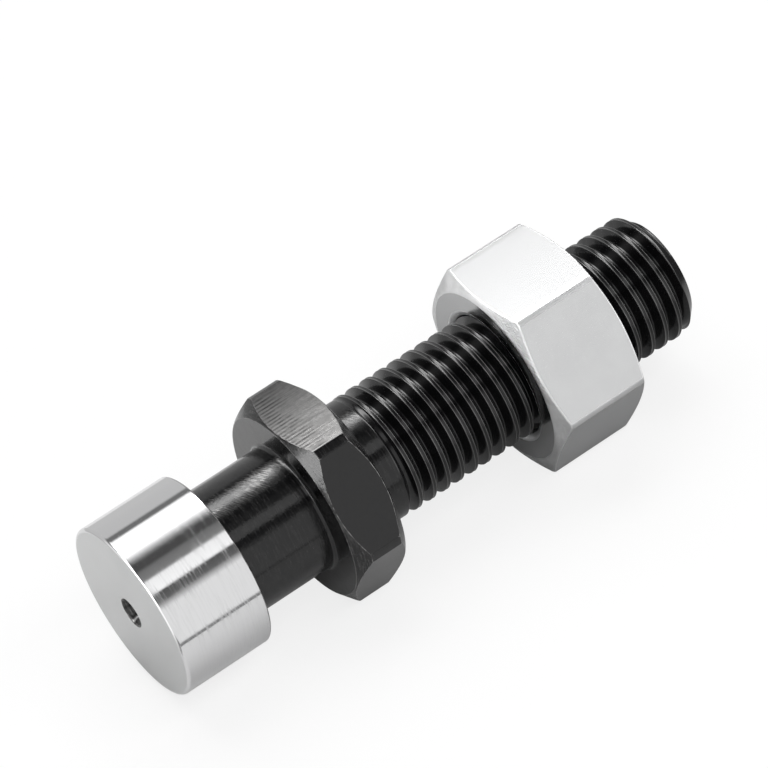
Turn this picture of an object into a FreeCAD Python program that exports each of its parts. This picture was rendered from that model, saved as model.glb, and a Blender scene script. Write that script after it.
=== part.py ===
# Adjusting screw with a lock nut: a turned screw with a bright round head, a plain neck, a hexagon
# collar and an M16 stud, and one hexagon nut that runs on the stud.
# Frame: +X along the axis from the head to the stud's end, +Z up, origin on the axis at the collar's seat.
import FreeCAD, Part
import os
import Sketcher

edge_tolerance = 1e-4
doc = FreeCAD.newDocument("adjusting_screw")
sheet = doc.addObject("Spreadsheet::Sheet", "sizes")

# Driving dimensions, in millimetres and degrees.
dimensions = [
    ("head_diameter", 22.0, "round head, ground bright"),
    ("head_length", 11.5, "round head, along the axis"),
    ("head_front_edge", 0.4, "rounding of the edge round the head's front face"),
    ("head_back_edge", 0.15, "broken edge at the back of the head"),
    ("centre_mouth", 3.8, "lathe centre in the front face, across its mouth"),
    ("centre_angle", 60.0, "full angle of the lathe centre's cone"),
    ("pilot_diameter", 1.6, "pilot hole behind the cone"),
    ("pilot_length", 1.6, "pilot hole, up to its drill point"),
    ("drill_angle", 120.0, "full angle of the drill point at the pilot hole's end"),
    ("neck_diameter", 16.0, "plain neck between the head and the collar"),
    ("neck_length", 11.3, "from the head to the collar"),
    ("neck_fillet", 0.5, "inner corner between the neck and the collar"),
    ("hexagon_width", 24.0, "across the flats of the collar and of the nut"),
    ("collar_length", 7.0, "hexagon collar, along the axis"),
    ("collar_corner_loss", 0.61, "turned off the collar's sharp corners, across both"),
    ("collar_face_step", 0.4, "flat rings at the collar's ends, narrower than its flats by this"),
    ("collar_slope", 40.0, "slope of the collar's end cones from its faces"),
    ("stud_length", 46.0, "from the collar's seat to the stud's end"),
    ("shank_length", 3.4, "plain shank between the collar and the thread, along the axis"),
    ("shank_step", 0.1, "shank below the thread's crests, all round"),
    ("shank_fillet", 0.4, "inner corner between the shank and the collar"),
    ("thread_diameter", 15.8, "over the crests of the M16 thread"),
    ("stud_chamfer", 1.3, "45 degree chamfer at the stud's end"),
    ("nut_height", 12.6, "lock nut, along the axis"),
    ("nut_corner_loss", 0.36, "rounded off the nut's sharp corners, across both"),
    ("nut_face_step", 1.4, "flat rings at the nut's ends, narrower than its flats by this"),
    ("nut_slope", 23.0, "slope of the nut's end cones from its faces"),
    ("nut_clearance", 0.08, "between the thread's crests and the nut's bore"),
    ("nut_sink_step", 0.67, "countersinks at the ends of the nut's bore, wider than it all round"),
    ("sink_angle", 120.0, "full angle of those countersinks"),
    ("nut_place", 21.95, "from the collar's seat to the nut's near face"),
]

# Sizes that follow from the driving ones. Lengths of the screw are counted from the head's front face.
derived = [
    ("collar_start", "=head_length + neck_length"),
    ("seat_place", "=collar_start + collar_length"),
    ("thread_start", "=seat_place + shank_length"),
    ("stud_end", "=seat_place + stud_length"),
    ("shank_diameter", "=thread_diameter - 2 * shank_step"),
    ("hexagon_side", "=hexagon_width / sqrt(3)"),
    ("collar_diameter", "=2 * hexagon_side - collar_corner_loss"),
    ("collar_face", "=hexagon_width - collar_face_step"),
    ("collar_cone", "=(collar_diameter - collar_face) / 2 * tan(collar_slope * 1deg)"),
    ("centre_cone", "=(centre_mouth - pilot_diameter) / 2 / tan(centre_angle / 2 * 1deg)"),
    ("pilot_end", "=centre_cone + pilot_length"),
    ("pilot_point", "=pilot_end + pilot_diameter / 2 / tan(drill_angle / 2 * 1deg)"),
    ("nut_corner", "=2 * hexagon_side - nut_corner_loss"),
    ("nut_face", "=hexagon_width - nut_face_step"),
    ("nut_cone", "=(nut_corner - nut_face) / 2 * tan(nut_slope * 1deg)"),
    ("nut_bore", "=thread_diameter + 2 * nut_clearance"),
    ("nut_mouth", "=nut_bore + 2 * nut_sink_step"),
    ("nut_sink", "=nut_sink_step / tan(sink_angle / 2 * 1deg)"),
]


def fill_sheet():
    for line, (alias, value, use) in enumerate(dimensions, start=1):
        sheet.set(f"A{line}", alias)
        sheet.set(f"B{line}", str(value))
        sheet.set(f"C{line}", use)
        sheet.setAlias(f"B{line}", alias)
    for line, (alias, formula) in enumerate(derived, start=len(dimensions) + 2):
        sheet.set(f"A{line}", alias)
        sheet.set(f"B{line}", formula)
        sheet.setAlias(f"B{line}", alias)
    doc.recompute()


def value_of(formula):
    result = sheet.evalExpression(formula)
    return float(getattr(result, "Value", result))


def settle(feature):
    doc.recompute()
    if "Invalid" in feature.State or "Error" in feature.State:
        raise ValueError(f"{feature.Name} failed: {feature.State}")
    return feature


def add_sketch(body, name, plane, offset="0"):
    sketch = body.newObject("Sketcher::SketchObject", name)
    base = next(p for p in body.Origin.OriginFeatures if p.Role == plane)
    sketch.AttachmentSupport = (base, [""])
    sketch.MapMode = "FlatFace"
    sketch.setExpression(".AttachmentOffset.Base.z", offset)
    return settle(sketch)


def bind(sketch, kind, where, formula):
    number = sketch.addConstraint(Sketcher.Constraint(kind, *where, value_of(formula)))
    sketch.setExpression(f"Constraints[{number}]", formula)


# A closed outline of straight lines, whose corners are pairs of formulas in the sheet's sizes.
def draw_outline(sketch, corners):
    points = [FreeCAD.Vector(value_of(across), value_of(up), 0) for across, up in corners]
    first = sketch.GeometryCount
    sketch.addGeometry([Part.LineSegment(a, b) for a, b in zip(points, points[1:] + points[:1])], False)
    for i, (across, up) in enumerate(corners):
        line = first + i
        following = first + (i + 1) % len(corners)
        sketch.addConstraint(Sketcher.Constraint("Coincident", line, 2, following, 1))
        for kind, formula, axis in (("DistanceX", across, -2), ("DistanceY", up, -1)):
            if formula == "0":
                sketch.addConstraint(Sketcher.Constraint("PointOnObject", line, 1, axis))
            else:
                bind(sketch, kind, (-1, 1, line, 1), formula)


def draw_circle(sketch, diameter):
    centre = FreeCAD.Vector(0, 0, 0)
    circle = sketch.addGeometry(Part.Circle(centre, FreeCAD.Vector(0, 0, 1), value_of(diameter) / 2), False)
    sketch.addConstraint(Sketcher.Constraint("Coincident", circle, 3, -1, 1))
    bind(sketch, "Diameter", (circle,), diameter)


# A hexagon with one flat underneath and one on top.
def draw_hexagon(sketch, side):
    half = f"{side} / 2"
    rise = f"{side} * sqrt(3) / 2"
    draw_outline(sketch, [
        (side, "0"),
        (half, rise),
        (f"-{half}", rise),
        (f"-{side}", "0"),
        (f"-{half}", f"-{rise}"),
        (half, f"-{rise}"),
    ])


def revolve(body, name, sketch):
    feature = body.newObject("PartDesign::Revolution", name)
    feature.Profile = sketch
    feature.ReferenceAxis = (sketch, ["H_Axis"])
    feature.Angle = 360
    return settle(feature)


def check_smaller(feature, base):
    if feature.Shape.Volume >= base.Shape.Volume:
        raise ValueError(f"{feature.Name} cuts nothing")


# The flats of a hexagon, milled on a turned blank from the plane at end back over a length.
def mill_flats(body, name, end, length, blank):
    sketch = add_sketch(body, f"{name}_outline", "YZ_Plane", end)
    draw_circle(sketch, f"{blank} + sizes.hexagon_side")
    draw_hexagon(sketch, "sizes.hexagon_side")
    pocket = body.newObject("PartDesign::Pocket", name)
    pocket.Profile = sketch
    pocket.setExpression("Length", length)
    return settle(pocket)


# The round edge that lies at a distance along the axis and has a diameter.
def round_edge(feature, place, diameter):
    for number, edge in enumerate(feature.Shape.Edges, start=1):
        if edge.Curve.TypeId != "Part::GeomCircle":
            continue
        along = abs(edge.Curve.Center.x - value_of(place))
        across = abs(2 * edge.Curve.Radius - value_of(diameter))
        if along < edge_tolerance and across < edge_tolerance:
            return f"Edge{number}"
    raise ValueError(f"no round edge at {place}")


def round_off(body, name, base, place, diameter, radius):
    fillet = body.newObject("PartDesign::Fillet", name)
    fillet.Base = (base, [round_edge(base, place, diameter)])
    fillet.setExpression("Radius", radius)
    return settle(fillet)


def make_screw():
    screw = doc.addObject("PartDesign::Body", "screw")
    outline = add_sketch(screw, "screw_outline", "XZ_Plane")
    draw_outline(outline, [
        ("sizes.stud_end", "0"),
        ("sizes.stud_end", "sizes.thread_diameter / 2 - sizes.stud_chamfer"),
        ("sizes.stud_end - sizes.stud_chamfer", "sizes.thread_diameter / 2"),
        ("sizes.thread_start + sizes.shank_step", "sizes.thread_diameter / 2"),
        ("sizes.thread_start", "sizes.shank_diameter / 2"),
        ("sizes.seat_place", "sizes.shank_diameter / 2"),
        ("sizes.seat_place", "sizes.collar_face / 2"),
        ("sizes.seat_place - sizes.collar_cone", "sizes.collar_diameter / 2"),
        ("sizes.collar_start + sizes.collar_cone", "sizes.collar_diameter / 2"),
        ("sizes.collar_start", "sizes.collar_face / 2"),
        ("sizes.collar_start", "sizes.neck_diameter / 2"),
        ("sizes.head_length", "sizes.neck_diameter / 2"),
        ("sizes.head_length", "sizes.head_diameter / 2 - sizes.head_back_edge"),
        ("sizes.head_length - sizes.head_back_edge", "sizes.head_diameter / 2"),
        ("0", "sizes.head_diameter / 2"),
        ("0", "sizes.centre_mouth / 2"),
        ("sizes.centre_cone", "sizes.pilot_diameter / 2"),
        ("sizes.pilot_end", "sizes.pilot_diameter / 2"),
        ("sizes.pilot_point", "0"),
    ])
    turned = revolve(screw, "turned_blank", outline)
    flats = mill_flats(screw, "collar_flats", "sizes.seat_place", "sizes.collar_length", "sizes.collar_diameter")
    check_smaller(flats, turned)
    front = round_off(screw, "head_rounding", flats, "0", "sizes.head_diameter", "sizes.head_front_edge")
    neck = round_off(screw, "neck_corner", front, "sizes.collar_start", "sizes.neck_diameter", "sizes.neck_fillet")
    round_off(screw, "shank_corner", neck, "sizes.seat_place", "sizes.shank_diameter", "sizes.shank_fillet")
    screw.setExpression("Placement.Base.x", "-sizes.seat_place")
    return screw


def make_nut():
    nut = doc.addObject("PartDesign::Body", "lock_nut")
    outline = add_sketch(nut, "nut_outline", "XZ_Plane")
    draw_outline(outline, [
        ("0", "sizes.nut_mouth / 2"),
        ("sizes.nut_sink", "sizes.nut_bore / 2"),
        ("sizes.nut_height - sizes.nut_sink", "sizes.nut_bore / 2"),
        ("sizes.nut_height", "sizes.nut_mouth / 2"),
        ("sizes.nut_height", "sizes.nut_face / 2"),
        ("sizes.nut_height - sizes.nut_cone", "sizes.nut_corner / 2"),
        ("sizes.nut_cone", "sizes.nut_corner / 2"),
        ("0", "sizes.nut_face / 2"),
    ])
    turned = revolve(nut, "nut_blank", outline)
    flats = mill_flats(nut, "nut_flats", "sizes.nut_height", "sizes.nut_height", "sizes.nut_corner")
    check_smaller(flats, turned)
    nut.setExpression("Placement.Base.x", "sizes.nut_place")
    return nut


fill_sheet()
bodies = [make_screw(), make_nut()]
doc.recompute()
for item in doc.Objects:
    if "Invalid" in item.State or "Error" in item.State:
        raise ValueError(f"{item.Name} failed: {item.State}")
os.makedirs("parts", exist_ok=True)
for body in bodies:
    shape = body.Shape
    if shape.isNull() or not shape.isValid() or len(shape.Solids) != 1:
        raise ValueError(f"{body.Label} isn't one valid solid")
    shape.exportStep(f"parts/{body.Label}.step")
    box = shape.BoundBox
    print(body.Label, "volume", round(shape.Volume, 1), "from", round(box.XMin, 2), "to", round(box.XMax, 2))
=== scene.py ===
# Adjusting screw with a lock nut, dressed over its CAD frame. Everything is in metres.
import math
from types import SimpleNamespace

import bmesh
import bpy
from mathutils import Matrix, Vector


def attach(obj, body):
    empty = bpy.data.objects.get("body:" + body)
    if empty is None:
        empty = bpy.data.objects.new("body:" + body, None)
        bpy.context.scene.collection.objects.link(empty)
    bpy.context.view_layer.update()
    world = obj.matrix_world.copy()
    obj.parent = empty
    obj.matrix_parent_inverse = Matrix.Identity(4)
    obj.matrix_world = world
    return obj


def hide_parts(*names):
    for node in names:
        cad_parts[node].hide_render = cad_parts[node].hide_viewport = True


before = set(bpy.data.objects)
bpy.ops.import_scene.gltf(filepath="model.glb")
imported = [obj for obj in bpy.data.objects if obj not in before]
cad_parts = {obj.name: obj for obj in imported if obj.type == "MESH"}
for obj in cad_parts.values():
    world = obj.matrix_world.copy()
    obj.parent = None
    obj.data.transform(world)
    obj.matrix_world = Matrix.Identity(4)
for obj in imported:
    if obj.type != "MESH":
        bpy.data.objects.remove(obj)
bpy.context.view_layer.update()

mm = 0.001
sector = 24  # columns of points to each side of a hexagon, even so that middles and corners fall on them
columns = 6 * sector
sameSpot = 1e-7  # points of one turned ring that lie on the axis
mergeGap = 2e-6  # points of parts that meet


# A socket that can be used in a Python expression: each operator adds one Math node.
class Wire:
    def __init__(self, bench, socket):
        self.bench = bench
        self.socket = socket

    def __add__(self, other):
        return self.bench.maths("ADD", self, other)

    def __radd__(self, other):
        return self.bench.maths("ADD", other, self)

    def __sub__(self, other):
        return self.bench.maths("SUBTRACT", self, other)

    def __rsub__(self, other):
        return self.bench.maths("SUBTRACT", other, self)

    def __mul__(self, other):
        return self.bench.maths("MULTIPLY", self, other)

    def __rmul__(self, other):
        return self.bench.maths("MULTIPLY", other, self)

    def __truediv__(self, other):
        return self.bench.maths("DIVIDE", self, other)

    def __mod__(self, other):
        return self.bench.maths("FLOORED_MODULO", self, other)


# The one place where nodes are added, for shaders and for geometry alike.
class Bench:
    def __init__(self, tree):
        self.tree = tree

    def add(self, kind, settings=None, sockets=None):
        node = self.tree.nodes.new(kind)
        for name, value in (settings or {}).items():
            if name == "stops":
                self.fillRamp(node.color_ramp, value)
            elif name == "curve":
                self.fillCurve(node.mapping, value)
            else:
                setattr(node, name, value)
        for name, value in (sockets or {}).items():
            if isinstance(value, Wire):
                self.tree.links.new(value.socket, node.inputs[name])
            else:
                node.inputs[name].default_value = value
        return node

    def fillRamp(self, ramp, stops):
        while len(ramp.elements) > 1:
            ramp.elements.remove(ramp.elements[-1])
        for i, (place, grey) in enumerate(stops):
            element = ramp.elements[0] if i == 0 else ramp.elements.new(place)
            element.position = place
            element.color = (grey, grey, grey, 1)

    def fillCurve(self, mapping, points):
        curve = mapping.curves[0]
        for place, height in points[1:-1]:
            curve.points.new(place, height)
        for point, (place, height) in zip(curve.points, points):
            point.location = (place, height)
            point.handle_type = "VECTOR"
        mapping.update()

    def wire(self, kind, settings=None, sockets=None, output=0):
        return Wire(self, self.add(kind, settings, sockets).outputs[output])

    def maths(self, operation, *values):
        return self.wire("ShaderNodeMath", {"operation": operation}, dict(enumerate(values)))

    def blend(self, factor, first, second):
        return self.wire("ShaderNodeMix", {"data_type": "RGBA"}, {0: factor, 6: first, 7: second}, 2)

    def step(self, value, low, high):
        sockets = {"Value": value, "From Min": low, "From Max": high}
        return self.wire("ShaderNodeMapRange", {"interpolation_type": "SMOOTHSTEP"}, sockets)

    # noise that is stretched or squeezed by a number for each axis
    def grain(self, place, stretch, detail=2.0, rough=0.5, shift=0.0):
        scaled = self.wire("ShaderNodeVectorMath", {"operation": "MULTIPLY"}, {0: place, 1: stretch})
        moved = self.wire("ShaderNodeVectorMath", {"operation": "ADD"}, {0: scaled, 1: (shift, shift, shift)})
        sockets = {"Vector": moved, "Scale": 1.0, "Detail": detail, "Roughness": rough}
        return self.wire("ShaderNodeTexNoise", {}, sockets)


# The finishes. Each one reads object coordinates, so its marks lie on the metal itself. A grain in
# their dictionaries is its stretch per metre on each axis, its detail, its roughness and its shift.
def newFinish(name):
    finish = bpy.data.materials.new(name)
    finish.use_nodes = True
    finish.node_tree.nodes.clear()
    return finish, Bench(finish.node_tree)


def closeFinish(bench, settings):
    shader = bench.add("ShaderNodeBsdfPrincipled", {}, settings)
    output = bench.add("ShaderNodeOutputMaterial")
    bench.tree.links.new(shader.outputs[0], output.inputs[0])


def bump(bench, height, strength, distance):
    return bench.wire("ShaderNodeBump", {}, {"Height": height, "Strength": strength, "Distance": distance})


def objectPlace(bench):
    place = bench.wire("ShaderNodeTexCoord", {}, {}, "Object")
    apart = bench.add("ShaderNodeSeparateXYZ", {}, {0: place})
    along, across, up = (Wire(bench, socket) for socket in apart.outputs)
    radius = bench.maths("SQRT", across * across + up * up)
    return SimpleNamespace(place=place, along=along, across=across, up=up, radius=radius)


def roughness(look, share):
    return look["smooth"] + (look["rough"] - look["smooth"]) * share


groundSteel = {
    "colour": (0.63, 0.63, 0.635, 1), "marked": (0.60, 0.60, 0.605, 1), "smooth": 0.05, "rough": 0.25,
    "rings": ((5200, 300, 300), 3.0, 0.6), "ringEdge": (0.44, 0.60),
    "patches": ((420, 240, 240), 2.0, 0.5, 7.0), "patchEdge": (0.30, 0.60),
    "handled": (1 * mm, -5 * mm), "everywhere": 0.10, "onHandled": 0.20, "onPatches": 0.45,
    "bump": 1.0, "depth": 0.009 * mm,
}


def makeGroundSteel():
    finish, bench = newFinish("groundSteel")
    look, at = groundSteel, objectPlace(bench)
    rings = bench.grain(at.place, *look["rings"])
    patches = bench.step(bench.grain(at.place, *look["patches"]), *look["patchEdge"])
    handled = bench.step(at.across, *look["handled"])
    share = look["everywhere"] + (look["onHandled"] + look["onPatches"] * patches) * handled
    marks = bench.step(rings, *look["ringEdge"]) * share
    closeFinish(bench, {
        "Base Color": bench.blend(marks, look["colour"], look["marked"]),
        "Metallic": 1.0,
        "Roughness": roughness(look, marks),
        "Normal": bump(bench, rings, look["bump"], look["depth"]),
    })
    return finish


facedSteel = {
    "colour": (0.49, 0.494, 0.494, 1), "dull": (0.473, 0.477, 0.477, 1), "smooth": 0.20, "rough": 0.26,
    "ringScale": 6000, "alongScale": 100, "rings": ((1, 1, 1), 2.0, 0.5),
    "cloud": ((240, 240, 240), 3.0, 0.6, 3.0), "cloudEdge": (0.3, 0.7),
    "bump": 0.03, "depth": 0.01 * mm,
}


def makeFacedSteel():
    finish, bench = newFinish("facedSteel")
    look, at = facedSteel, objectPlace(bench)
    sockets = {"X": at.radius * look["ringScale"], "Y": at.along * look["alongScale"], "Z": 0.0}
    rings = bench.grain(bench.wire("ShaderNodeCombineXYZ", {}, sockets), *look["rings"])
    cloud = bench.grain(at.place, *look["cloud"])
    closeFinish(bench, {
        "Base Color": bench.blend(bench.step(cloud, *look["cloudEdge"]), look["colour"], look["dull"]),
        "Metallic": 1.0,
        "Roughness": roughness(look, cloud),
        "Normal": bump(bench, rings, look["bump"], look["depth"]),
    })
    return finish


# Black oxide: a dark skin with a low sheen, worn to steel where the wear is 1.
blackOxide = {"skin": (0.003, 0.003, 0.0033, 1), "steel": (0.42, 0.415, 0.41, 1), "index": 1.42}


def closeBlack(bench, wear, rough, normal):
    closeFinish(bench, {
        "Base Color": bench.blend(wear, blackOxide["skin"], blackOxide["steel"]),
        "Metallic": wear,
        "IOR": blackOxide["index"],
        "Roughness": rough,
        "Normal": normal,
    })


# The neck and the shank bear scuffs at the top and the bottom, in strokes that cross the turning marks. Their
# strip lies where the bright band's reflection falls, so its steel is partly real scuffing and partly a
# painted highlight.
turnedBlack = {
    "smooth": 0.07, "rough": 0.17,
    "rings": ((4800, 520, 520), 4.0, 0.65), "ringEdge": (0.44, 0.62),
    "flecks": ((2400, 2000, 2000), 3.0, 0.6, 11.0), "fleckEdge": (0.4, 0.65), "unflecked": 0.4,
    "scuffs": ((5600, 5600, 1), 3.0, 0.6, 21.0), "scuffEdge": (0.44, 0.60), "scuffHighlightWear": 0.30,
    "skew": 0.6, "strokes": 0.15,
    "blotches": ((300, 600, 600), 2.0, 0.5, 5.0), "blotchEdge": (0.38, 0.58),
    "scuffHighlightMiddle": -1.0 * mm, "scuffHighlightReach": (1.9 * mm, 0.6 * mm), "scuffHighlightRadius": (8.2 * mm, 8.05 * mm),
    "bump": 1.0, "depth": 0.03 * mm,
}


def makeTurnedBlack(name, rubbed):
    finish, bench = newFinish(name)
    look, at = turnedBlack, objectPlace(bench)
    rings = bench.grain(at.place, *look["rings"])
    flecks = bench.grain(at.place, *look["flecks"])
    marks = bench.step(rings, *look["ringEdge"])
    sockets = {"X": at.along + at.across * look["skew"], "Y": at.across * look["strokes"], "Z": 0.0}
    scuffs = bench.grain(bench.wire("ShaderNodeCombineXYZ", {}, sockets), *look["scuffs"])
    blotches = bench.step(bench.grain(at.place, *look["blotches"]), *look["blotchEdge"])
    # the strip on the bright band's reflection: real scuffing and a painted highlight in one
    fromMiddle = bench.maths("ABSOLUTE", at.across - look["scuffHighlightMiddle"])
    scuffHighlightStrip = bench.step(fromMiddle, *look["scuffHighlightReach"]) * bench.step(at.radius, *look["scuffHighlightRadius"])
    flecked = look["unflecked"] + (1 - look["unflecked"]) * bench.step(flecks, *look["fleckEdge"])
    wear = marks * flecked * rubbed
    wear = wear + scuffHighlightStrip * blotches * bench.step(scuffs, *look["scuffEdge"]) * look["scuffHighlightWear"]
    rough = roughness(look, marks * 0.5 + flecks * 0.5)
    height = rings * 0.5 + flecks * 0.5 + scuffs * scuffHighlightStrip * 0.5
    closeBlack(bench, wear, rough, bump(bench, height, look["bump"], look["depth"]))
    return finish


# Milling marks run along the axis. The two flats that a spanner grips are rubbed brighter, and the
# tool's teeth show on them towards the head.
milledBlack = {
    "smooth": 0.10, "rough": 0.20, "wear": 0.02, "rubbed": 0.88, "gripped": (11.90 * mm, 11.97 * mm),
    "lines": ((330, 5400, 5400), 2.0, 0.5), "lineEdge": (0.25, 0.62),
    "sway": ((500, 420, 420), 2.0, 0.5, 13.0), "swayEdge": (0.30, 0.55), "swing": 2.5,
    "cloud": ((1900, 1900, 1900), 3.0, 0.6, 5.0), "cloudEdge": (0.35, 0.62), "unclouded": 0.60,
    "toFront": (7 * mm, -7 * mm), "atBack": 0.16, "toHead": (-1.5 * mm, -5.5 * mm),
    "spacing": 0.54 * mm, "plain": 0.62, "lined": 0.38, "toothed": 0.36, "toothShift": 0.6,
    "bump": 0.15, "depth": 0.02 * mm,
}


def makeMilledBlack():
    finish, bench = newFinish("milledBlack")
    look, at = milledBlack, objectPlace(bench)
    lines = bench.grain(at.place, *look["lines"])
    sway = bench.grain(at.place, *look["sway"])
    cloud = bench.grain(at.place, *look["cloud"])
    teeth = bench.maths("SINE", at.across * (2 * math.pi / look["spacing"]) + sway * look["swing"])
    gripped = bench.step(bench.maths("ABSOLUTE", at.up), *look["gripped"])
    toFront = look["atBack"] + (1 - look["atBack"]) * bench.step(at.across, *look["toFront"])
    toHead = bench.step(at.along, *look["toHead"]) * bench.step(sway, *look["swayEdge"])
    clouded = look["unclouded"] + (1 - look["unclouded"]) * bench.step(cloud, *look["cloudEdge"])
    marks = bench.step(lines, *look["lineEdge"]) * clouded
    scored = look["plain"] + look["lined"] * marks - look["toothed"] * toHead * (teeth + look["toothShift"])
    wear = look["wear"] * cloud + look["rubbed"] * scored * gripped * toFront
    rough = roughness(look, marks * 0.5 + cloud * 0.5)
    height = lines * (0.2 + 0.6 * gripped) + cloud * 0.2
    closeBlack(bench, wear, rough, bump(bench, height, look["bump"], look["depth"]))
    return finish


threadBlack = {
    "smooth": 0.08, "rough": 0.15, "ridge": (7.870 * mm, 7.895 * mm),
    "cloud": ((1400, 900, 900), 3.0, 0.6), "wear": 0.11, "cloudWear": 0.30,
    "bump": 0.12, "depth": 0.02 * mm,
}


def makeThreadBlack():
    finish, bench = newFinish("threadBlack")
    look, at = threadBlack, objectPlace(bench)
    cloud = bench.grain(at.place, *look["cloud"])
    ridge = bench.step(at.radius, *look["ridge"])
    wear = ridge * (look["wear"] + look["cloudWear"] * cloud)
    rough = look["rough"] + (look["smooth"] - look["rough"]) * ridge
    closeBlack(bench, wear, rough, bump(bench, cloud, look["bump"], look["depth"]))
    return finish


# Steel shows along the outer edges. The inner corners, whose radius is within reach of the middle,
# stay black, and so do the straight edges of the collar's lands.
wornEdge = {
    "smooth": 0.16, "rough": 0.32, "wear": 0.50,
    "cloud": ((1500, 1500, 1500), 3.0, 0.6, 17.0), "cloudEdge": (0.28, 0.68),
    "middle": 5.4 * mm, "reach": (2.9 * mm, 3.1 * mm),
    "collarMiddle": -3.5 * mm, "landEnd": (1.7 * mm, 2.1 * mm),
    "bump": 0.2, "depth": 0.02 * mm,
}


def makeWornEdge():
    finish, bench = newFinish("wornEdge")
    look, at = wornEdge, objectPlace(bench)
    cloud = bench.grain(at.place, *look["cloud"])
    outside = bench.step(bench.maths("ABSOLUTE", at.radius - look["middle"]), *look["reach"])
    offLand = bench.step(bench.maths("ABSOLUTE", at.along - look["collarMiddle"]), *look["landEnd"])
    wear = outside * offLand * bench.step(cloud, *look["cloudEdge"]) * look["wear"]
    closeBlack(bench, wear, roughness(look, cloud), bump(bench, cloud, look["bump"], look["depth"]))
    return finish


# Zinc plate: even on the flats, smooth on the end faces, grained where it was turned.
zincColumns = ("bright", "dull", "smooth", "rough", "bump", "fine")
zincLooks = {
    "zincFlat": (0.56, 0.54, 0.19, 0.23, 0.007, 1600),
    "zincTurned": (0.72, 0.52, 0.28, 0.42, 0.40, 4600),
    "zincEdge": (0.66, 0.58, 0.34, 0.46, 0.05, 3000),
    "zincFace": (0.48, 0.45, 0.13, 0.18, 0.007, 1600),
}
zincPlate = {
    "tint": (1.0, 1.005, 1.01), "cloud": ((260, 260, 260), 4.0, 0.55), "cloudEdge": (0.3, 0.7),
    "fineGrain": (2.0, 0.5, 2.0), "depth": 0.25 * mm,
}


def zincColour(level):
    return (*(level * share for share in zincPlate["tint"]), 1)


def makeZinc(name):
    finish, bench = newFinish(name)
    look, at = dict(zip(zincColumns, zincLooks[name])), objectPlace(bench)
    cloud = bench.grain(at.place, *zincPlate["cloud"])
    clouded = bench.step(cloud, *zincPlate["cloudEdge"])
    fine = bench.grain(at.place, (look["fine"],) * 3, *zincPlate["fineGrain"])
    closeFinish(bench, {
        "Base Color": bench.blend(clouded, zincColour(look["bright"]), zincColour(look["dull"])),
        "Metallic": 1.0,
        "Roughness": roughness(look, cloud),
        "Normal": bump(bench, fine, look["bump"], zincPlate["depth"]),
    })
    return finish


# The angle of a column from the middle of its flat. Where the land at the corners is given, in
# degrees, the columns beside each corner move to where it ends.
def cornerAngle(j, land=None):
    degrees = (j * 360 / columns) % 60
    step = 360 / columns
    if land and degrees in (step, 60 - step):
        degrees = land if degrees == step else 60 - land
    return math.radians(degrees - 30)


def onLand(j):
    return j % sector in (0, sector - 1)


# A row of a turned mesh is a place along the axis and a radius, in millimetres, either of them a
# function of the column where the form isn't round, and the finish of the band that follows it.
def turn(rows, name, finishes, land=None):
    mesh = bmesh.new()
    rings = []
    for along, radius, slot in rows:
        ring = []
        for j in range(columns):
            middle = math.radians(60 * (j // sector) + 30)
            angle = middle + cornerAngle(j, land)
            x = along(j) if callable(along) else along
            r = radius(j) if callable(radius) else radius
            ring.append(mesh.verts.new((x * mm, r * math.cos(angle) * mm, r * math.sin(angle) * mm)))
        rings.append(ring)
    for one, two, (along, radius, slot) in zip(rings, rings[1:], rows):
        if slot is None:
            continue
        for j in range(columns):
            k = (j + 1) % columns
            face = mesh.faces.new((one[j], one[k], two[k], two[j]))
            face.material_index = slot(j) if callable(slot) else slot
    bmesh.ops.remove_doubles(mesh, verts=mesh.verts, dist=sameSpot)
    piece = bpy.data.objects.new(name, bpy.data.meshes.new(name))
    mesh.to_mesh(piece.data)
    mesh.free()
    for finish in finishes:
        piece.data.materials.append(finish)
    bpy.context.scene.collection.objects.link(piece)
    return piece


# The rows of a hexagon with coned ends, between two places along the axis.
def hexagonRows(start, end, sizes, flat, edged, cone, face):
    tilt = math.tan(math.radians(sizes["slope"]))

    def edge(j):
        return min(sizes["flats"] / 2 / math.cos(cornerAngle(j, sizes["land"])), sizes["corner"] / 2)

    def side(j):
        return edged if onLand(j) else flat

    def rise(j):
        return (edge(j) - sizes["face"] / 2) * tilt

    return [
        (start, sizes["face"] / 2, cone),
        (lambda j: start + rise(j), edge, side),
        (lambda j: end - rise(j), edge, cone),
        (end, sizes["face"] / 2, face),
    ]


roundSteps = 6


# The rows of a quarter round about a centre, from one angle to another.
def roundRows(centreAlong, centreRadius, size, angles, slot):
    rows = []
    for i in range(roundSteps + 1):
        angle = math.radians(angles[0] + (angles[1] - angles[0]) * i / roundSteps)
        rows.append((centreAlong + size * math.cos(angle), centreRadius + size * math.sin(angle), slot))
    return rows


# The sharp edges are rounded a little, with the finish of that slot.
def settle(piece, sizes, slot):
    bevel = piece.modifiers.new("edges", "BEVEL")
    bevel.limit_method = "ANGLE"
    bevel.angle_limit = math.radians(sizes["edgeAngle"])
    bevel.width = sizes["edgeWidth"] * mm
    bevel.segments = sizes["edgeSteps"]
    bevel.material = slot
    bevel.miter_outer = "MITER_ARC"
    applyAll(piece)


def applyAll(piece):
    graph = bpy.context.evaluated_depsgraph_get()
    done = bpy.data.meshes.new_from_object(piece.evaluated_get(graph), depsgraph=graph)
    piece.modifiers.clear()
    old = piece.data
    piece.data = done
    bpy.data.meshes.remove(old)


endAngle = math.radians(30)


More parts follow.
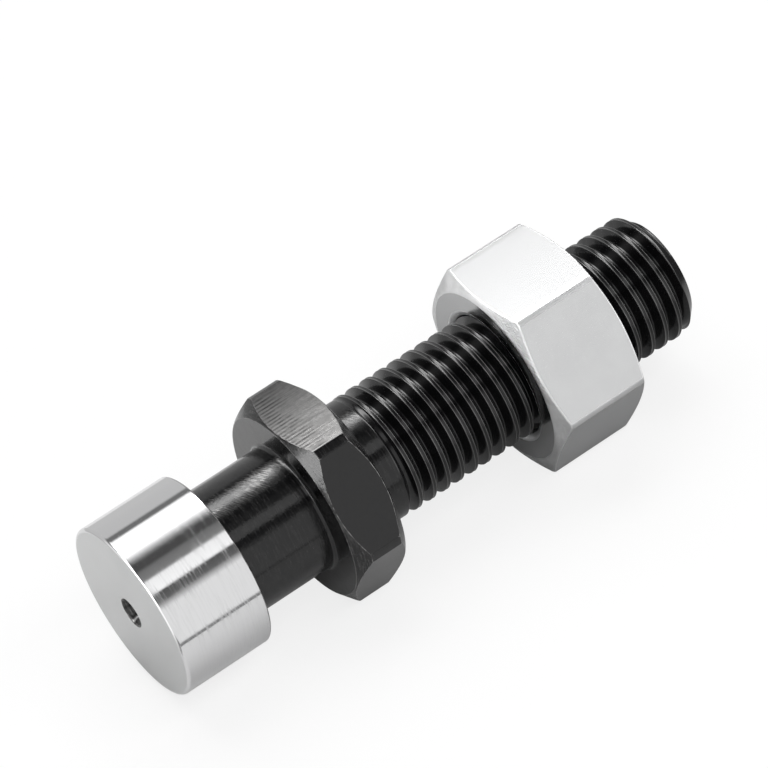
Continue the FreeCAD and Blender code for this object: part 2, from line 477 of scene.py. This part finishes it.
# Joined into one mesh, doubles merged, faces outwards, and shaded so that large faces stay flat. The
# rim of the plane at sharpEnd stays sharp.
def weld(parts, name, sharpEnd=None):
    mesh = bmesh.new()
    for part in parts:
        mesh.from_mesh(part.data)
    bmesh.ops.remove_doubles(mesh, verts=mesh.verts, dist=mergeGap)
    bmesh.ops.recalc_face_normals(mesh, faces=mesh.faces)
    for face in mesh.faces:
        face.smooth = True
    for edge in mesh.edges:
        atEnd = sharpEnd is not None and all(abs(vert.co.x - sharpEnd) < 1e-6 for vert in edge.verts)
        if atEnd and edge.calc_face_angle(0.0) > endAngle:
            edge.smooth = False
    piece = parts[0]
    for slot in piece.data.materials:
        print(name, "finish", slot.name)
    mesh.to_mesh(piece.data)
    openEdges = sum(1 for edge in mesh.edges if len(edge.link_faces) != 2)
    print(name, "faces", len(mesh.faces), "open edges", openEdges)
    mesh.free()
    piece.name = name
    for part in parts[1:]:
        bpy.data.objects.remove(part)
    weighted = piece.modifiers.new("shading", "WEIGHTED_NORMAL")
    weighted.keep_sharp = True
    applyAll(piece)
    return piece


# The thread, rolled: its crests keep a shallow dip between two ridges.
thread = {
    "Pitch": 2.0 * mm,
    "Crest radius": 7.9 * mm,
    "Root radius": 6.775 * mm,
    "Crest flat": 0.50 * mm,
    "Crest dip": 0.05 * mm,
    "Edge rounding": 0.08 * mm,
    "Shank radius": 7.8 * mm,
    "End radius": 6.6 * mm,
    "Start": 3.4 * mm,
    "End": 46.0 * mm,
    "Run-out": 1.2 * mm,
    "Turn": 2.30,
}
flankAngle = math.radians(30)
dipShares = (0.24, 0.44)  # where the dip ends and where the ridge starts, as shares of the crest's flat
# distance from the crest's middle at each step of the profile, as a share of half the pitch
threadShares = [0.0, 0.13, 0.19, 0.23, 0.27, 0.33, 0.84, 0.92, 1.0]
halfRows = len(threadShares) - 1
threadSteps = [(i / halfRows, share) for i, share in enumerate(threadShares)]


def threadTree(finish):
    tree = bpy.data.node_groups.new("cutThread", "GeometryNodeTree")
    tree.interface.new_socket("Geometry", in_out="OUTPUT", socket_type="NodeSocketGeometry")
    for name in thread:
        tree.interface.new_socket(name, in_out="INPUT", socket_type="NodeSocketFloat")
    bench = Bench(tree)
    given = bench.add("NodeGroupInput")
    size = {name: Wire(bench, given.outputs[name]) for name in thread}
    turns = math.ceil((thread["End"] - thread["Start"]) / thread["Pitch"]) + 2
    rows = 2 * halfRows * turns
    sockets = {"Size X": 1.0, "Size Y": 1.0, "Vertices X": rows + 1, "Vertices Y": columns + 1}
    grid = bench.wire("GeometryNodeMeshGrid", {}, sockets)
    apart = bench.add("ShaderNodeSeparateXYZ", {}, {0: bench.wire("GeometryNodeInputPosition")})
    row = bench.maths("ROUND", (Wire(bench, apart.outputs[0]) + 0.5) * rows)
    angle = (Wire(bench, apart.outputs[1]) + 0.5) * (2 * math.pi)
    # where the row lies in its own turn of the thread
    inTurn = row % (2 * halfRows) - halfRows
    whole = bench.maths("FLOOR", row / (2 * halfRows))
    fromMiddle = bench.maths("ABSOLUTE", inTurn) / halfRows
    share = bench.wire("ShaderNodeFloatCurve", {"curve": threadSteps}, {"Value": fromMiddle})
    fromCrest = share * size["Pitch"] / 2
    helix = (whole + 0.5) * size["Pitch"] + bench.maths("SIGN", inTurn) * fromCrest
    x = size["Start"] - size["Pitch"] * 1.5 + helix + size["Pitch"] * (angle + size["Turn"]) / (2 * math.pi)
    x = bench.maths("MINIMUM", bench.maths("MAXIMUM", x, size["Start"]), size["End"])
    # the flanks fall from the crest at 30 degrees, and the corners are softened
    flank = size["Crest radius"] - (fromCrest - size["Crest flat"] / 2) / math.tan(flankAngle)
    ridge = bench.step(fromCrest, size["Crest flat"] * dipShares[0], size["Crest flat"] * dipShares[1])
    radius = bench.maths("SMOOTH_MIN", flank, size["Crest radius"], size["Edge rounding"])
    radius = radius - size["Crest dip"] * (1 - ridge)
    radius = bench.maths("SMOOTH_MAX", radius, size["Root radius"], size["Edge rounding"])
    cut = bench.step(x, size["Start"], size["Start"] + size["Run-out"])
    radius = size["Shank radius"] + (radius - size["Shank radius"]) * cut
    radius = bench.maths("MINIMUM", radius, size["End radius"] + (size["End"] - x))
    sockets = {
        "X": x,
        "Y": radius * bench.maths("COSINE", angle),
        "Z": radius * bench.maths("SINE", angle),
    }
    point = bench.wire("ShaderNodeCombineXYZ", {}, sockets)
    placed = bench.wire("GeometryNodeSetPosition", {}, {"Geometry": grid, "Position": point})
    merged = bench.wire("GeometryNodeMergeByDistance", {}, {"Geometry": placed, "Distance": mergeGap})
    real = bench.wire("GeometryNodeRealizeInstances", {}, {"Geometry": merged})
    black = bench.wire("GeometryNodeSetMaterial", {}, {"Geometry": real, "Material": finish})
    output = bench.add("NodeGroupOutput")
    tree.links.new(black.socket, output.inputs[0])
    return tree


def makeThread(finish, slot):
    piece = bpy.data.objects.new("threadGrid", bpy.data.meshes.new("threadGrid"))
    bpy.context.scene.collection.objects.link(piece)
    tree = threadTree(finish)
    modifier = piece.modifiers.new("cut", "NODES")
    modifier.node_group = tree
    for item in tree.interface.items_tree:
        if item.in_out == "INPUT" and item.name in thread:
            modifier[item.identifier] = thread[item.name]
    applyAll(piece)
    for face in piece.data.polygons:
        face.material_index = slot
    print("thread faces", len(piece.data.polygons))
    return piece


screw = {
    "headFront": -29.8, "headBack": -18.3, "headRadius": 11.0, "headEdge": 0.4, "headBackEdge": 0.15,
    "faceRings": (2.05, 4.0, 7.0, 9.5, 10.5),
    "centreRadius": 1.9, "centreCone": 1.905, "pilotRadius": 0.8, "pilotEnd": 3.505, "pilotPoint": 3.967,
    "neckRadius": 8.0, "neckFillet": 0.5,
    "collarFront": -7.0, "collarBack": 0.0,
    "shankRadius": 7.8, "shankFillet": 0.4, "endRing": 3.0,
    "edgeWidth": 0.05, "edgeAngle": 24, "edgeSteps": 2,
    "rubbed": {"turnedBlack": 0.03, "boredBlack": 0.40, "conedBlack": 0.12},
}
collar = {"flats": 24.0, "corner": 27.103, "face": 23.6, "slope": 40.0, "land": None}


def makeScrew():
    s = screw
    turnedOnes = [makeTurnedBlack(name, rubbed) for name, rubbed in s["rubbed"].items()]
    finishes = [makeGroundSteel(), makeFacedSteel(), makeMilledBlack(), makeThreadBlack(), makeWornEdge()]
    finishes += turnedOnes
    ground, faced, milled, threaded, worn, turned, bored, coned = range(len(finishes))
    rows = [
        (s["headFront"] + s["pilotPoint"], 0.0, bored),
        (s["headFront"] + s["pilotEnd"], s["pilotRadius"], bored),
        (s["headFront"] + s["centreCone"], s["pilotRadius"], bored),
        (s["headFront"], s["centreRadius"], faced),
    ]
    rows += [(s["headFront"], radius, faced) for radius in s["faceRings"]]
    size = s["headEdge"]
    rows += roundRows(s["headFront"] + size, s["headRadius"] - size, size, (180, 90), ground)
    rows += [
        (s["headBack"] - s["headBackEdge"], s["headRadius"], ground),
        (s["headBack"], s["headRadius"] - s["headBackEdge"], turned),
        (s["headBack"], s["neckRadius"], turned),
    ]
    size = s["neckFillet"]
    rows += roundRows(s["collarFront"] - size, s["neckRadius"] + size, size, (270, 360), turned)
    rows += hexagonRows(s["collarFront"], s["collarBack"], collar, milled, turned, coned, turned)
    size = s["shankFillet"]
    rows += roundRows(s["collarBack"] + size, s["shankRadius"] + size, size, (180, 270), turned)
    rows.append((thread["Start"] / mm, s["shankRadius"], None))
    endRadii = (thread["End radius"] / mm, s["endRing"], 0.0)
    rows += [(thread["End"] / mm, radius, threaded) for radius in endRadii]
    body = turn(rows, "screwBody", finishes)
    settle(body, s, worn)
    return weld([body, makeThread(finishes[threaded], threaded)], "adjusting_screw", thread["End"])


nut = {
    "flats": 24.0, "corner": 27.353, "face": 22.6, "slope": 23.0, "land": 1.336,
    "start": 21.95, "end": 34.55, "bore": 15.96, "mouth": 17.3, "sink": 0.387,
    "edgeWidth": 0.14, "edgeAngle": 20, "edgeSteps": 3,
}


def makeNut():
    n = nut
    flat, turned, edged, face = range(4)
    rows = [(n["start"] + n["sink"], n["bore"] / 2, turned), (n["start"], n["mouth"] / 2, face)]
    rows += hexagonRows(n["start"], n["end"], n, flat, edged, turned, face)
    rows += [
        (n["end"], n["mouth"] / 2, turned),
        (n["end"] - n["sink"], n["bore"] / 2, turned),
        (n["start"] + n["sink"], n["bore"] / 2, turned),
    ]
    body = turn(rows, "nutBody", [makeZinc(name) for name in zincLooks], n["land"])
    settle(body, n, edged)
    return weld([body], "zinc_lock_nut")


screwPiece = makeScrew()
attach(screwPiece, "screw")
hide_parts("screw")
nutPiece = makeNut()
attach(nutPiece, "lock_nut")
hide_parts("lock_nut")
print("pieces made")

# Floor, light and camera. The metal mirrors the floor only where it is near, and the tent elsewhere. In that
# mirrored floor, painted light makes it paler under the head and painted shade makes it darker under the nut
# and the thread.
stage = {
    "floorTop": -12.01 * mm, "floorWidth": 4.0,
    "floorColour": (0.82, 0.82, 0.82, 1), "cameraWhite": 0.80,
    "mirrorPaintedLight": (0.78, 0.78, 0.78, 1), "mirrorPaintedShade": (0.44, 0.44, 0.44, 1), "mirrorLightToShade": (0 * mm, 20 * mm),
    "mirrorMiddle": 13 * mm, "mirrorReach": (57 * mm, 57.5 * mm),
    "mirrorStart": (-44 * mm, -48 * mm), "mirrorEnd": (66 * mm, 76 * mm),
    "ambient": 0.30, "bandStrength": 9.0,
}
# Brightness of the tent by the angle in degrees about the screw's axis, from the back of the floor
# over the top to the front: a wide softbox, a strip, a front panel, and dark gaps between them.
tentBands = [
    (0, 0.75), (33, 0.75), (36, 0.22), (43, 0.25), (45, 1.5), (51, 2.2), (54, 9.0), (66, 9.0), (70, 3.4),
    (75, 1.7), (80, 0.85), (85, 0.30), (89, 0.10), (97, 0.10), (101, 0.24), (110, 0.30), (112, 0.34),
    (114.5, 1.35), (130, 1.45), (132, 0.13), (142, 0.18), (148, 0.75), (152, 1.12), (198, 1.12),
    (199, 0.30), (206, 0.34), (315, 0.6), (345, 0.7), (360, 0.75),
]
# The tent's end walls. Each pair is where a wall fades in, as a share of the ray's direction along
# the screw, across it to the back, or up.
endWalls = {
    "nearLevel": 1.6, "nearAlong": (-0.75, -0.90),
    "besideAlong": (-0.50, -0.78), "besideAcross": (0.25, 0.50), "besideUp": (0.20, 0.05),
    "behind": (-0.05, 0.15),
    "farLevel": 2.4, "farUpperLevel": 0.9, "farAlong": (0.50, 0.75), "farUp": (-0.30, -0.15),
    "farLower": (0.32, 0.14),
    "spotAlong": (-0.90, -0.95), "spotUp": (0.08, 0.16),
    "lowLoss": 0.85, "lowAlong": (0.55, 0.75), "lowUp": (-0.03, -0.09),
}


def makeFloor():
    finish, bench = newFinish("paleFloor")
    path = bench.add("ShaderNodeLightPath")
    camera, glossy = Wire(bench, path.outputs["Is Camera Ray"]), Wire(bench, path.outputs["Is Glossy Ray"])
    place = bench.add("ShaderNodeSeparateXYZ", {}, {0: bench.wire("ShaderNodeTexCoord", {}, {}, "Object")})
    x, y = Wire(bench, place.outputs[0]), Wire(bench, place.outputs[1])
    aside = bench.step(bench.maths("ABSOLUTE", y - stage["mirrorMiddle"]), *stage["mirrorReach"])
    before = bench.step(x, *stage["mirrorStart"])
    beyond = bench.step(x, *stage["mirrorEnd"])
    far = bench.maths("MAXIMUM", bench.maths("MAXIMUM", aside, before), beyond)
    # seen only in reflections: painted light under the head, painted shade under the nut and the thread
    mirrored = bench.blend(bench.step(x, *stage["mirrorLightToShade"]), stage["mirrorPaintedLight"], stage["mirrorPaintedShade"])
    colour = bench.blend(glossy, stage["floorColour"], mirrored)
    pale = bench.wire("ShaderNodeBsdfDiffuse", {}, {"Color": colour})
    white = bench.wire("ShaderNodeEmission", {}, {"Strength": 1.0})
    clear = bench.wire("ShaderNodeBsdfTransparent")
    seen = bench.wire("ShaderNodeMixShader", {}, {0: camera * stage["cameraWhite"], 1: pale, 2: white})
    beneath = bench.wire("ShaderNodeNewGeometry", {}, {}, "Backfacing") * camera
    through = bench.maths("MAXIMUM", glossy * far, beneath)
    mixed = bench.wire("ShaderNodeMixShader", {}, {0: through, 1: seen, 2: clear})
    output = bench.add("ShaderNodeOutputMaterial")
    bench.tree.links.new(mixed.socket, output.inputs[0])
    half = stage["floorWidth"] / 2
    corners = [(-half, -half), (half, -half), (half, half), (-half, half)]
    floor = bpy.data.objects.new("floor", bpy.data.meshes.new("floor"))
    floor.data.from_pydata([(x, y, stage["floorTop"]) for x, y in corners], [], [(0, 1, 2, 3)])
    floor.data.materials.append(finish)
    bpy.context.scene.collection.objects.link(floor)


def makeWorld():
    world = bpy.data.worlds.new("tent")
    world.use_nodes = True
    world.node_tree.nodes.clear()
    world.cycles.sampling_method = "NONE"
    bench, w = Bench(world.node_tree), endWalls
    path = bench.add("ShaderNodeLightPath")
    camera, glossy = Wire(bench, path.outputs["Is Camera Ray"]), Wire(bench, path.outputs["Is Glossy Ray"])
    apart = bench.add("ShaderNodeSeparateXYZ", {}, {0: bench.wire("ShaderNodeTexCoord", {}, {}, "Generated")})
    x, y, z = (Wire(bench, socket) for socket in apart.outputs)
    share = (bench.maths("ARCTAN2", z, y) / (2 * math.pi) + 1) % 1
    stops = [(degrees / 360, level / stage["bandStrength"]) for degrees, level in tentBands]
    bands = bench.wire("ShaderNodeValToRGB", {"stops": stops}, {0: share})
    behind = bench.step(y, *w["behind"])
    beside = bench.step(x, *w["besideAlong"]) * bench.step(y, *w["besideAcross"])
    beside = beside * bench.step(z, *w["besideUp"])
    near = bench.maths("MAXIMUM", bench.step(x, *w["nearAlong"]), beside)
    near = near * (w["nearLevel"] / stage["bandStrength"])
    far = bench.step(x, *w["farAlong"]) * bench.step(z, *w["farUp"]) * (1 - behind)
    farLevel = w["farUpperLevel"] + (w["farLevel"] - w["farUpperLevel"]) * bench.step(z, *w["farLower"])
    far = far * farLevel / stage["bandStrength"]
    spot = bench.step(x, *w["spotAlong"]) * bench.step(z, *w["spotUp"])
    walls = bench.maths("MAXIMUM", bench.maths("MAXIMUM", near, far), spot)
    settings = {"data_type": "RGBA", "blend_type": "LIGHTEN"}
    lit = bench.wire("ShaderNodeMix", settings, {0: 1.0, 6: bands, 7: walls}, 2)
    low = 1 - w["lowLoss"] * bench.step(x, *w["lowAlong"]) * bench.step(z, *w["lowUp"]) * behind
    tent = bench.wire("ShaderNodeBackground", {}, {"Color": lit, "Strength": low * stage["bandStrength"]})
    plain = bench.wire("ShaderNodeBackground", {}, {"Color": (1, 1, 1, 1), "Strength": stage["ambient"]})
    white = bench.wire("ShaderNodeBackground", {}, {"Color": (1, 1, 1, 1), "Strength": 1.0})
    mirrored = bench.wire("ShaderNodeMixShader", {}, {0: glossy, 1: plain, 2: tent})
    seen = bench.wire("ShaderNodeMixShader", {}, {0: camera, 1: mirrored, 2: white})
    output = bench.add("ShaderNodeOutputWorld")
    bench.tree.links.new(seen.socket, output.inputs[0])
    bpy.context.scene.world = world


lamps = {
    "overheadSoftbox": {"place": (0.12, 0.30, 0.62), "width": 0.60, "length": 0.80, "power": 4.2},
    "frontStrip": {"place": (0.05, -0.35, 0.50), "width": 0.22, "length": 0.70, "power": 2.2},
}


def makeLamps():
    for name, lamp in lamps.items():
        light = bpy.data.lights.new(name, "AREA")
        light.shape = "RECTANGLE"
        light.size = lamp["length"]
        light.size_y = lamp["width"]
        light.energy = lamp["power"]
        holder = bpy.data.objects.new(name, light)
        holder.location = lamp["place"]
        holder.rotation_euler = (-Vector(lamp["place"])).to_track_quat("-Z", "Y").to_euler()
        holder.visible_glossy = False
        holder.visible_camera = False
        bpy.context.scene.collection.objects.link(holder)


view = {
    "place": (-0.17340, -0.38169, 0.38842),
    "right": (0.795596, -0.573220, -0.196050),
    "up": (0.514821, 0.469120, 0.717560),
    "lens": 234.375, "sensor": 36.0, "reach": (0.01, 10.0),
}


def makeCamera():
    camera = bpy.data.objects.new("camera", bpy.data.cameras.new("camera"))
    right, up = Vector(view["right"]).normalized(), Vector(view["up"]).normalized()
    back = right.cross(up)
    turned = Matrix((right, up, back)).transposed().to_4x4()
    camera.matrix_world = Matrix.Translation(view["place"]) @ turned
    camera.data.lens = view["lens"]
    camera.data.sensor_width = view["sensor"]
    camera.data.clip_start, camera.data.clip_end = view["reach"]
    bpy.context.scene.collection.objects.link(camera)
    bpy.context.scene.camera = camera


makeFloor()
makeWorld()
makeLamps()
makeCamera()
bpy.context.scene.view_settings.view_transform = "Standard"
print("stage made")
